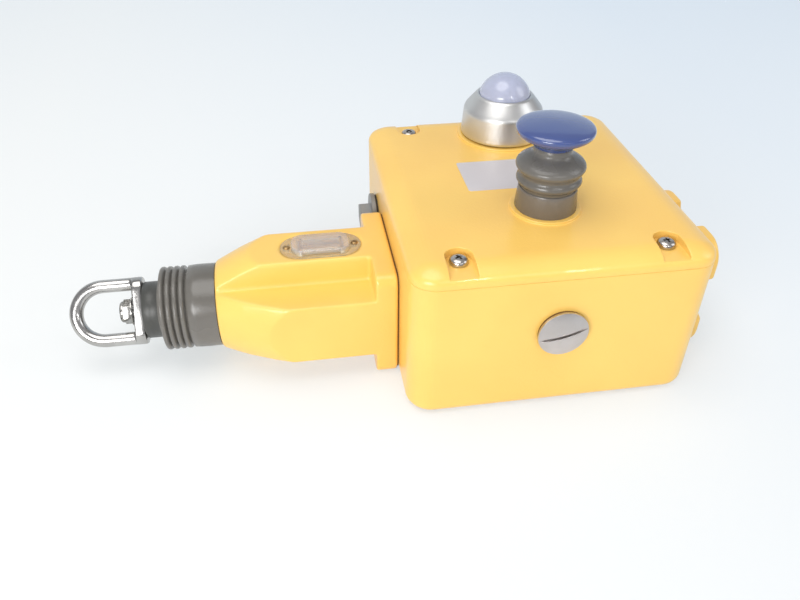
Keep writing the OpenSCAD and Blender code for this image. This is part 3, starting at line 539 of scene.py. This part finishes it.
def skinned(made, voxel, rounds):
    """Skins a piece finely and relaxes the skin, so that every edge and corner is a small fillet."""
    skin = made.modifiers.new("skin", "REMESH")
    skin.mode = "VOXEL"
    skin.voxel_size = voxel * mm
    relax = made.modifiers.new("relax", "SMOOTH")
    relax.factor = 0.5
    relax.iterations = rounds
    return settled(made)


def as_cast(name, node, soft_edge, voxel, rounds):
    """A small casting with soft edges, coated like the box."""
    made = piece(name, merged_copy(node), yellow_paint, None, "yellow_paint", node)
    settled(broken_edges(made, soft_edge))
    skinned(made, voxel, rounds).data.shade_smooth()
    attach(made, "box")


as_cast("head_casting", "head_housing", soft_edge=0.35, voxel=0.6, rounds=14)
brown_rubber = finish("brown_rubber", (0.12, 0.065, 0.025), (0.16, 0.085, 0.03), (0.6, 0.7), bump=0.1)
ivory_plastic = finish("ivory_plastic", (0.66, 0.58, 0.46), (0.74, 0.66, 0.54), (0.35, 0.45), bump=0.05)
coat(brown_rubber, "head_gasket")
coat(ivory_plastic, "indicator_sleeve")
coat(zinc_steel, "head_screws")

# The indicator window is a clear moulding let into the crest of the head and
# held by two small screws; its raised middle shows the sleeve inside.

WINDOW_X, WINDOW_Y, _ = middle("window_lens")
WINDOW_Z = corners("head_housing")[1][2]
WINDOW_SCREW_X = 15.4
clear_plastic = finish(
    "clear_plastic", (0.99, 0.87, 0.60), (0.99, 0.90, 0.66), (0.08, 0.14),
    bump=0.02, grain=500.0, transmission_weight=0.76, ior=1.46,
)
tree = clear_plastic.node_tree
height = tree.nodes.new("ShaderNodeSeparateXYZ")
raised = tree.nodes.new("ShaderNodeMapRange")
raised.inputs["From Min"].default_value = (WINDOW_Z + 0.5) * mm
raised.inputs["From Max"].default_value = (WINDOW_Z + 1.7) * mm
pale = tree.nodes.new("ShaderNodeMix")
pale.data_type = "RGBA"
pale.inputs["B"].default_value = (0.99, 0.95, 0.96, 1)
for source, target in (
    (tree.nodes.new("ShaderNodeTexCoord").outputs["Object"], height.inputs[0]),
    (height.outputs["Z"], raised.inputs["Value"]),
    (raised.outputs["Result"], pale.inputs["Factor"]),
    (tree.nodes["Mix"].outputs["Result"], pale.inputs["A"]),
    (pale.outputs["Result"], tree.nodes["Principled BSDF"].inputs["Base Color"]),
):
    tree.links.new(source, target)


def rod(radius, low, high, steps):
    """A plain rod up the Z axis, to bore a hole with."""
    return lathe([(0, low), (radius, low), (radius, high), (0, high)], steps, closed=False)


def pan_head(radius, height, shank, length):
    """A domed head on a threaded shank."""
    profile = [(0, -length), (shank - 0.6, -length)]
    profile += thread(shank, shank - 0.3, -length + 0.6, -1.0, 0.7)
    profile += [(shank, 0), (radius - 0.15, 0), (radius, 0.15 * height)]
    for out, rise in ((0.985, 0.42), (0.93, 0.62), (0.82, 0.77), (0.64, 0.89), (0.40, 0.97), (0, 1)):
        profile.append((radius * out, height * rise))
    return lathe(profile, 40, closed=False)


def carved(made, cutter, operation="DIFFERENCE"):
    """Cuts a bmesh out of a piece, or joins it on."""
    mesh = bpy.data.meshes.new("cutter")
    cutter.to_mesh(mesh)
    cutter.free()
    tool = bpy.data.objects.new("cutter", mesh)
    scene.collection.objects.link(tool)
    cut = made.modifiers.new("cut", "BOOLEAN")
    cut.operation = operation
    cut.solver = "EXACT"
    cut.object = tool
    settled(made)
    bpy.data.objects.remove(tool)
    bpy.data.meshes.remove(mesh)
    return made


def tapered_bar(length, width, depth, taper):
    """A bar whose lower face is shorter by the taper, and 0.7 times as wide."""
    shape = bmesh.new()
    bmesh.ops.create_cube(shape, size=1)
    bmesh.ops.scale(shape, verts=shape.verts, vec=(length * mm, width * mm, depth * mm))
    low = [v for v in shape.verts if v.co.z < 0]
    bmesh.ops.scale(shape, verts=low, vec=(taper, 0.7, 1))
    return shape


def gather(shapes):
    """Joins several bmeshes in one."""
    whole = bmesh.new()
    for part in shapes:
        mesh = bpy.data.meshes.new("part")
        part.to_mesh(mesh)
        part.free()
        whole.from_mesh(mesh)
        bpy.data.meshes.remove(mesh)
    return whole


def cross_screws(name, node, places, z, radius, height, shank, length, material):
    """Cross-recess screws at each (x, y, turn), as one piece with its heads seated at z."""
    heads = [at(pan_head(radius, height, shank, length), x, y, z) for x, y, turn in places]
    made = piece(name, gather(heads), material, "box", "zinc_steel", node)
    for quarter in (0, 90):
        bars = []
        for x, y, turn in places:
            bar = tapered_bar(radius * 1.25, radius * 0.28, height * 1.3, 0.45)
            turned(bar, bar.verts, turn + quarter, "Z")
            bars.append(at(bar, x, y, z + height * 0.95))
        carved(made, gather(bars))
    return broken_edges(shaded(made, 32), 0.06, 2, 40)


def edges_along(shape, axis):
    """The edges of a block that run along one of its axes."""
    return [e for e in shape.edges if abs(e.verts[0].co[axis] - e.verts[1].co[axis]) > 1e-6]


def rounded(shape, edges, offset, segments):
    """Rounds some edges of a shape."""
    bmesh.ops.bevel(
        shape, geom=edges, offset=offset * mm, offset_type="OFFSET", segments=segments, profile=0.5,
        affect="EDGES", material=-1,
    )


def rounded_block(half_x, half_y, low, high, corner, crown=0.0):
    """A block with rounded upright corners and, where crown is given, a rounded upper rim."""
    shape = bmesh.new()
    bmesh.ops.create_cube(shape, size=2)
    bmesh.ops.scale(shape, verts=shape.verts, vec=(half_x * mm, half_y * mm, (high - low) / 2 * mm))
    at(shape, 0, 0, (low + high) / 2)
    rounded(shape, edges_along(shape, 2), corner, 12)
    if crown:
        rim = [e for e in shape.edges if all(v.co.z > high * mm - 1e-6 for v in e.verts)]
        rounded(shape, rim, crown, 6)
    return shape


def in_window(shape):
    """Moves a shape from the origin to the crest of the head."""
    return at(shape, WINDOW_X, WINDOW_Y, WINDOW_Z)


flange = in_window(rounded_block(18.4, 9.3, -1.5, -0.1, 9.2, 0.2))
lens = piece("window_moulding", flange, clear_plastic, "box", "clear_plastic", "window_lens", sharp=40)
carved(lens, in_window(rounded_block(13.5, 8.0, -0.8, 2.1, 5.5, 1.9)), "UNION")
carved(lens, in_window(rounded_block(9.7, 5.7, -3.0, -0.9, 0.5)), "UNION")
carved(lens, in_window(rounded_block(8.5, 4.6, -4.0, 1.0, 0.3)))
for end in (-1, 1):
    carved(lens, in_window(at(rod(1.2, -4, 2, 32), end * WINDOW_SCREW_X, 0, 0)))
shaded(lens, 40)
window_brass = finish(
    "window_brass", (0.42, 0.27, 0.12), (0.56, 0.38, 0.19), (0.34, 0.46),
    bump=0.04, metal=1.0, grain=1500.0, patch=80.0,
)
cross_screws(
    "window_screw_pair", "window_screws",
    [(WINDOW_X + end * WINDOW_SCREW_X, WINDOW_Y, 20 + 30 * end) for end in (-1, 1)],
    z=WINDOW_Z - 0.1, radius=1.6, height=0.9, shank=1.0, length=5.4, material=window_brass,
)

# ---------------------------------------------------------------- boot
# A moulded rubber boot grips the nose of the head. Its four tight ribs open
# as the rope is pulled, and its neck holds the shaft.

grey_rubber = finish(
    "grey_rubber", (0.137, 0.129, 0.115), (0.172, 0.162, 0.145), (0.21, 0.30),
    bump=0.06, grain=1500.0, patch=30.0,
)
# The neck takes a darker tone of the same rubber: painted shade, where the ribs shade it.
neck_rubber_painted_shade = finish(
    "neck_rubber_painted_shade", (0.052, 0.053, 0.048), (0.070, 0.071, 0.065), (0.34, 0.44), bump=0.06, grain=1500.0
)
BOOT_MOUTH = corners("rope_boot")[1][0]
BOOT_END = corners("rope_boot")[0][0]
RIB = 2.95
RIBS_AT = -157.9
NECK_AT = -171.2
sleeve = [(16.5, BOOT_MOUTH), (19.2, BOOT_MOUTH), (19.25, -148), (19.3, -151), (19.25, -154), (19.0, -157.2)]
for i in range(4):
    x = RIBS_AT - RIB * i
    sleeve += [(17.5, x - 0.1), (17.2, x - 0.45), (17.5, x - 0.8), (18.9, x - 1.1), (19.2, x - 1.55)]
    sleeve += [(19.2, x - 2.35), (18.9, x - 2.8)]
sleeve += [(17.0, -170.0), (13.6, -170.6), (13.0, NECK_AT), (13.0, -174.5), (13.0, -177.6), (12.6, BOOT_END)]
sleeve += [(10.4, BOOT_END), (10.2, -177.6), (10.2, -174), (10.2, -168.6), (14.6, -167.4), (14.8, -163)]
sleeve += [(14.8, -158), (14.8, -153.2), (16.4, -151.4)]
sleeve = on_rope(lathe(sleeve, 112))
boot = piece("nose_boot", sleeve, grey_rubber, None, "grey_rubber", "rope_boot", sharp=60)
boot.data.materials.append(neck_rubber_painted_shade)
# Faces of the neck, past NECK_AT, take the darker rubber as painted shade.
for face in boot.data.polygons:
    face.material_index = int(face.center.x < NECK_AT * mm)
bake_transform(boot)

# ---------------------------------------------------------------- bow
# The rope bow is a forged eye in polished chrome. It swivels on the shaft
# behind a washer and a self-locking nut.

chrome_steel = finish(
    "chrome_steel", (0.46, 0.45, 0.435), (0.56, 0.55, 0.535), (0.18, 0.26),
    bump=0.03, metal=1.0, grain=700.0, patch=90.0, rubbed=0.12,
)
nut_steel = finish(
    "nut_steel", (0.34, 0.33, 0.31), (0.46, 0.45, 0.43), (0.18, 0.28),
    bump=0.04, metal=1.0, grain=1500.0, patch=80.0,
)
BOW_R = 15.5
BAR_R = 3.1
BOW_TURN = -37
FOOT_SIZE = (4.9, 12.6, 2 * (BOW_R + 0.1))
FOOT_CORNER = 5.9
FOOT_BORE = 5.05


def run_out(shape, edges, step):
    """Extrudes edges along X by a step in mm, and returns what was added."""
    added = bmesh.ops.extrude_edge_only(shape, edges=edges)["geom"]
    moved = [v for v in added if isinstance(v, bmesh.types.BMVert)]
    bmesh.ops.translate(shape, verts=moved, vec=(step * mm, 0, 0))
    rim = [e for e in added if isinstance(e, bmesh.types.BMEdge) and all(v in moved for v in e.verts)]
    return moved, rim


def bow_shape():
    """The bent bar and its flat foot, overlapping before they are skinned together."""
    bar_end = BOW_FOOT - 0.8
    bend = BOW_TIP + BOW_R
    bar = bmesh.new()
    ring = bmesh.ops.create_circle(bar, cap_ends=False, segments=32, radius=BAR_R * mm)["verts"]
    turned(bar, ring, 90, "Y")
    bmesh.ops.translate(bar, verts=ring, vec=(bar_end * mm, 0, (BOW_R - BAR_R) * mm))
    moved, rim = run_out(bar, bar.edges[:], bend - bar_end)
    bmesh.ops.spin(bar, geom=moved + rim, cent=(bend * mm, 0, 0), axis=(0, -1, 0), angle=math.pi, steps=56)
    last = [v for v in bar.verts if abs(v.co.x - bend * mm) < 1e-6 and v.co.z < 0]
    run_out(bar, [e for e in bar.edges if all(v in last for v in e.verts)], bar_end - bend)
    bmesh.ops.holes_fill(bar, edges=[e for e in bar.edges if e.is_boundary], sides=64)
    bmesh.ops.recalc_face_normals(bar, faces=bar.faces)
    foot = bmesh.new()
    bmesh.ops.create_cube(foot, size=1)
    bmesh.ops.scale(foot, verts=foot.verts, vec=[size * mm for size in FOOT_SIZE])
    at(foot, BOW_FOOT - 2.5, 0, 0)
    rounded(foot, edges_along(foot, 0), FOOT_CORNER, 10)
    return gather([bar, foot])


bow = skinned(piece("rope_eye", bow_shape(), chrome_steel, None, "chrome_steel", "rope_bow"), 0.32, 44)
bore = rod(FOOT_BORE, BOW_FOOT - 8, BOW_FOOT + 3, 64)
turned(bore, bore.verts, 90, "Y")
carved(bow, bore)
on_axis = Matrix.Translation(rope_point(0))
bow.data.transform(on_axis @ Matrix.Rotation(math.radians(BOW_TURN), 4, "X"))
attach(shaded(bow, 50), "bow")

NUT_FLATS_R = 5.78
NUT_BORE = 3.05
NUT_MIDDLE = -186.15
washer = [(NUT_BORE, -184.4), (6.4, -184.4), (6.6, -184.2), (6.6, -183.8), (6.4, WASHER_FOOT)]
washer = lathe(washer + [(NUT_BORE, WASHER_FOOT)], 64)
piece("swivel_washer", on_rope(washer), nut_steel, "rope_line", "nut_steel", "bow_washer")


def prism(sides, radius, depth):
    """A prism on the Z axis, of the depth given, about the nut's middle."""
    shape = bmesh.new()
    bmesh.ops.create_cone(
        shape, cap_ends=True, segments=sides, radius1=radius * mm, radius2=radius * mm, depth=depth * mm,
        matrix=Matrix.Translation((0, 0, NUT_MIDDLE * mm)),
    )
    return shape


nut = piece("swivel_nut", prism(6, NUT_FLATS_R, 3.5), nut_steel, None, "nut_steel", "bow_nut")
carved(nut, prism(48, NUT_BORE, 9))
settled(broken_edges(nut, 0.2, 2, 25))
both = lathe([(NUT_BORE, -187.6), (4.9, -187.6), (4.9, -188.6), (4.5, -189.3), (NUT_BORE, -189.35)], 48)
both.from_mesh(nut.data)
both.to_mesh(nut.data)
both.free()
nut.data.transform(along_rope)
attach(shaded(nut, 32), "rope_line")

# ---------------------------------------------------------------- end cap
# A four-lobed casting closes the far wall over the tail of the shaft, with a
# recessed screw in each lobe and a rubber gasket behind it.

as_cast("end_cap_casting", "end_cap", soft_edge=1.3, voxel=0.5, rounds=10)
black_rubber = finish(
    "black_rubber", (0.018, 0.016, 0.014), (0.032, 0.029, 0.026), (0.55, 0.70), bump=0.15, grain=1600.0
)
coat(black_rubber, "end_cap_gasket")
coat(zinc_steel, "end_cap_screws")

# ---------------------------------------------------------------- plugs
# The front entry is closed by a domed nickel-plated plug with a wide slot, the
# side entry by a moulded grey plug with a hexagon head. Each sits on a seal.

nickel_brass = finish(
    "nickel_brass", (0.56, 0.52, 0.50), (0.66, 0.62, 0.61), (0.28, 0.38),
    bump=0.05, metal=1.0, grain=900.0, patch=60.0, rubbed=0.1,
)
PLUG_R = 10.9
PLUG_HEIGHT = 3.2
PLUG_CROWN_R = 34
PLUG_X, _, PLUG_Z = middle("front_plug")
PLUG_SEAT_Y = corners("front_plug_seal")[0][1]
profile = [(0, -9), (8.6, -9)] + thread(9.15, 8.6, -8.5, -0.5, 1.5) + [(9.15, 0), (10.6, 0), (PLUG_R, 0.35)]
for i in range(15):
    r = PLUG_R * (1 - i / 14)
    profile.append((r, PLUG_HEIGHT - PLUG_CROWN_R + math.sqrt(PLUG_CROWN_R**2 - r * r)))
front_plug = piece(
    "slotted_plug", lathe(profile, 128, closed=False), nickel_brass, None, "nickel_brass", "front_plug"
)
slot_cut = tapered_bar(26, 1.5, 4, 1.0)
turned(slot_cut, slot_cut.verts, 14, "Z")
carved(front_plug, at(slot_cut, 0, 0, 3.5))
in_wall = Matrix.Translation((PLUG_X * mm, PLUG_SEAT_Y * mm, PLUG_Z * mm))
front_plug.data.transform(in_wall @ Matrix.Rotation(math.radians(90), 4, "X"))
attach(shaded(front_plug, 35), "box")
broken_edges(front_plug, 0.12, 2, 50)

grey_plastic = finish(
    "grey_plastic", (0.20, 0.205, 0.205), (0.26, 0.265, 0.26), (0.35, 0.48), bump=0.06, grain=1200.0
)
side_plug = piece("hexagon_plug", merged_copy("side_plug"), grey_plastic, "box", "grey_plastic", "side_plug")
broken_edges(side_plug, 0.35, 3, 25)
coat(brown_rubber, "front_plug_seal")
coat(black_rubber, "side_plug_seal")

# ---------------------------------------------------------------- cover
# The cover is cast to match the box, with a crowned edge, raised seats for
# the lamp and the reset knob, and four pockets for its screws.

box_shell("cover_casting", "cover")
coat(black_rubber, "cover_gasket")
screw_steel = finish(
    "screw_steel", (0.40, 0.37, 0.34), (0.54, 0.51, 0.48), (0.18, 0.28),
    bump=0.04, metal=1.0, grain=1500.0, patch=80.0,
)
COVER_TOP = corners("cover")[1][2]
POCKET_FLOOR = corners("cover")[0][2] + 4
SCREW_X, SCREW_Y = 44, 59.7
quarters = ((-1, -1, 28), (1, -1, 8), (-1, 1, 40), (1, 1, 15))
cross_screws(
    "cover_screw_set", "cover_screws", [(x * SCREW_X, y * SCREW_Y, turn) for x, y, turn in quarters],
    z=POCKET_FLOOR, radius=4.0, height=3.0, shank=2.0, length=14.0, material=screw_steel,
)

# The rating plate is a foil label, left bare, with rounded corners.

label_foil = finish(
    "plain_label", (0.60, 0.565, 0.575), (0.66, 0.625, 0.635), (0.32, 0.42), bump=0.03, grain=1200.0
)
low, high = corners("label")
foil = rounded_block((high[0] - low[0]) / 2, (high[1] - low[1]) / 2, low[2], high[2], 1.2)
at(foil, (low[0] + high[0]) / 2, (low[1] + high[1]) / 2, 0)
piece("rating_label", foil, label_foil, "box", "plain_label", "label")

# ---------------------------------------------------------------- reset knob
# The reset knob is a blue mushroom on a steel stem, with a rubber bellows down
# to a grey bush that is nutted through the cover.

RESET_X, RESET_Y, _ = middle("reset_bush")


def on_reset(shape, rise):
    """Moves a shape to the knob's axis, so many mm above its seat on the cover."""
    return at(shape, RESET_X, RESET_Y, COVER_TOP + rise)


blue_plastic = finish(
    "blue_plastic", (0.045, 0.075, 0.235), (0.055, 0.088, 0.265), (0.20, 0.28), bump=0.01, coat_weight=1.0
)
mushroom = [(0, 0), (4.5, 0), (8.4, 0), (8.8, 0.4), (9.2, 1.4), (10.2, 2.4), (12, 3.4), (14, 4.4)]
mushroom += [(15.3, 5.2), (15.95, 5.9), (16.22, 6.7), (16.3, 7.4), (16.2, 8.0), (15.8, 8.5), (15.0, 8.95)]
mushroom += [(13.6, 9.4), (11.6, 9.85), (9.0, 10.25), (6.0, 10.6), (3.0, 10.85), (0, 10.95)]
piece(
    "reset_mushroom", on_reset(lathe(mushroom, 128, closed=False), 28.5), blue_plastic, "reset_knob",
    "blue_plastic", "reset_cap", sharp=50,
)
bellows = [(11.1, 0), (12.1, 0), (12.15, 2.2), (12.3, 3.0), (12.7, 3.6), (13.4, 4.2), (13.9, 4.9)]
bellows += [(14.0, 5.6), (13.85, 6.3), (13.35, 7.0), (12.95, 7.6), (12.8, 8.3), (13.0, 9.0), (13.6, 9.8)]
bellows += [(14.3, 10.5), (14.7, 11.2), (14.8, 12.0), (14.6, 12.8), (14.0, 13.6), (13.0, 14.4), (11.6, 15.3)]
bellows += [(10.0, 16.2), (8.8, 16.9), (8.1, 17.7), (7.9, 18.6), (7.9, 20.2), (7.7, 20.4), (6.3, 20.4)]
bellows += [(6.3, 17.2), (8.4, 15.8), (12.0, 13.3), (12.9, 12.4), (12.9, 11.6), (11.6, 9.4), (11.4, 8.2)]
bellows += [(11.8, 6.8), (12.3, 5.6), (12.1, 4.6), (11.1, 3.2)]
bellows = on_reset(lathe(bellows, 112), 8)
reset_boot = piece("reset_bellows", bellows, grey_rubber, None, "grey_rubber", "reset_boot", sharp=60)
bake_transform(reset_boot)
windings = coil(radius=5.4, wire=0.5, turns=7, length=24.4, steps=32, sides=10)
reset_spring = piece("reset_coil", on_reset(windings, 4), spring_steel, None, "spring_steel", "reset_spring")
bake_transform(reset_spring)
bush_grey = finish(
    "bush_grey", (0.165, 0.148, 0.130), (0.205, 0.185, 0.160), (0.24, 0.32), bump=0.04, grain=1200.0
)
bush = [(4.75, -16.7), (9.8, -16.7), (9.8, 0), (13.3, 0), (13.5, 0.3), (12.75, 9.0), (12.7, 9.5), (12.5, 9.9)]
bush += [(12.25, 10), (12.2, 8), (11, 8), (11, 10), (6.4, 10), (6.4, 4), (4.75, 4)]
piece("reset_collar", on_reset(lathe(bush, 112), 0), bush_grey, "box", "grey_plastic", "reset_bush", sharp=40)
coat(bare_steel, "reset_stem")
coat(black_plastic, "reset_nut")

# ---------------------------------------------------------------- lamp
# The signal lamp has a satin turned bezel round a frosted dome, on a black
# body that is nutted through the cover with its small lamp board inside.

LAMP_X, LAMP_Y, _ = middle("beacon_body")


def on_lamp(shape, rise):
    """Moves a shape to the lamp's axis, so many mm above its seat on the cover."""
    return at(shape, LAMP_X, LAMP_Y, COVER_TOP + rise)


satin_aluminium = finish(
    "satin_aluminium", (0.63, 0.625, 0.61), (0.71, 0.705, 0.695), (0.36, 0.44),
    bump=0.02, metal=1.0, grain=1500.0, patch=25.0,
)
bezel = [(16.5, 0.8), (20.7, 0.8), (20.8, 1.0), (20.75, 2.2), (20.4, 7.0), (20.05, 11.9), (19.95, 12.7)]
bezel += [(19.7, 13.5), (19.3, 14.2), (18.4, 15.4), (16.6, 17.55), (14.95, 19.5), (14.5, 20.0), (14.0, 20.4)]
bezel += [(13.5, 20.6), (12.9, 20.6), (12.8, 20.5), (12.8, 19.2), (16.5, 15)]
bezel = on_lamp(lathe(bezel, 160), 0)
piece("lamp_bezel", bezel, satin_aluminium, "box", "satin_aluminium", "beacon_bezel", sharp=45)
frosted_dome = finish(
    "frosted_dome", (0.60, 0.64, 0.82), (0.66, 0.70, 0.88), (0.42, 0.50),
    transmission_weight=0.35, coat_weight=1.0, coat_roughness=0.03,
)
DOME_R = 13.3
DOME_INSIDE_R = 11.6
DOME_MIDDLE = 7.2
dome = [(15.6, 0), (15.6, 2), (12.6, 2), (12.6, 11.2)]
for i in range(1, 21):
    a = math.radians(72 * (1 - i / 20))
    dome.append((DOME_R * math.sin(a), DOME_MIDDLE + DOME_R * math.cos(a)))
for i in range(15):
    a = math.radians(88 * i / 14)
    dome.append((DOME_INSIDE_R * math.sin(a), DOME_MIDDLE + DOME_INSIDE_R * math.cos(a)))
dome += [(11, 7.0), (11, 0)]
dome = on_lamp(lathe(dome, 112), 10)
piece("lamp_dome", dome, frosted_dome, "box", "frosted_dome", "beacon_dome", sharp=50)
lamp_board = finish("lamp_board", (0.03, 0.12, 0.06), (0.05, 0.17, 0.09), (0.30, 0.45), bump=0.06)
coat(black_plastic, "beacon_body", "beacon_nut")
coat(lamp_board, "beacon_lamp")
coat(black_rubber, "beacon_seal")
